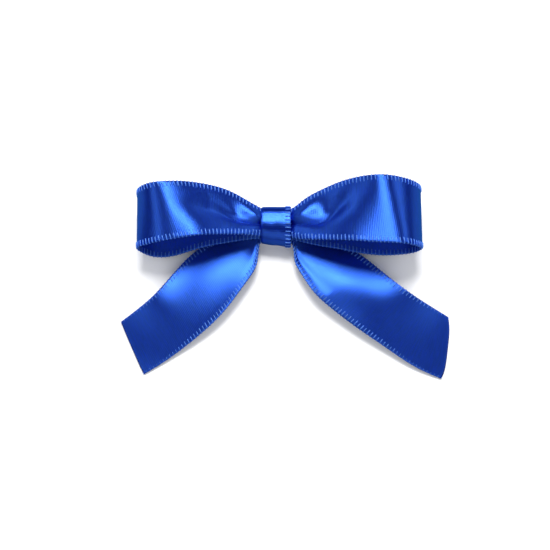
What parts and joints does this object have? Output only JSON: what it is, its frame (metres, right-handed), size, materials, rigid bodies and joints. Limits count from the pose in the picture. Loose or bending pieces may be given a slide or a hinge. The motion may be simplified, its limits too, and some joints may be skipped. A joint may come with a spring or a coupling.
{
  "type": "gift bow",
  "caption": "Ready-made gift bow of satin ribbon, with two loops, two tails and a folded centre band, on a self-adhesive pad.",
  "frame": {"origin": "on the back face, which is the liner's underside, behind the middle of the centre band", "axes": "+X along the loops to the right as seen from the front, +Y away from the tails, +Z out of the front of the bow"},
  "size_m": [0.0835, 0.0468, 0.0167],
  "materials": {
    "satin_ribbon": "double-face satin, glossy along the weft, with cross-stitched selvedges",
    "wrap_ribbon": "the same satin, folded over on itself and pressed",
    "binding_thread": "twisted polyester sewing thread",
    "hot_melt_glue": "clear to milky hot-melt glue, pressed flat",
    "adhesive_foam": "fine closed-cell foam with an adhesive on both faces",
    "liner_paper": "silicone-coated release paper"
  },
  "bodies": {
    "centre": {"waist_pleats": "satin_ribbon", "binding_thread": "binding_thread", "centre_wrap": "wrap_ribbon", "wrap_glue": "hot_melt_glue", "adhesive_pad": "adhesive_foam"},
    "right_loop": {"loop_right": "satin_ribbon"},
    "left_loop": {"loop_left": "satin_ribbon"},
    "right_tail": {"tail_right": "satin_ribbon"},
    "left_tail": {"tail_left": "satin_ribbon"},
    "liner": {"release_liner": "liner_paper"}
  },
  "joints": [
    {"name": "loop_right_lift", "type": "hinge", "parent": "centre", "child": "right_loop", "pos_m": [0.00605, 0, 0.0051], "axis": [0, -1, 0], "range_deg": [0, 25]},
    {"name": "loop_left_lift", "type": "hinge", "parent": "centre", "child": "left_loop", "pos_m": [-0.00605, 0, 0.0051], "axis": [0, 1, 0], "range_deg": [0, 25]},
    {"name": "tail_right_swing", "type": "hinge", "parent": "centre", "child": "right_tail", "pos_m": [0.00615, -0.002, 0.00201], "axis": [0, 0, 1], "range_deg": [-12, 12]},
    {"name": "tail_left_swing", "type": "hinge", "parent": "centre", "child": "left_tail", "pos_m": [-0.00615, -0.002, 0.00201], "axis": [0, 0, 1], "range_deg": [-12, 12]},
    {"name": "liner_peel", "type": "slide", "parent": "centre", "child": "liner", "axis": [0, 0, -1], "range_m": [0, 0.015]}
  ]
}
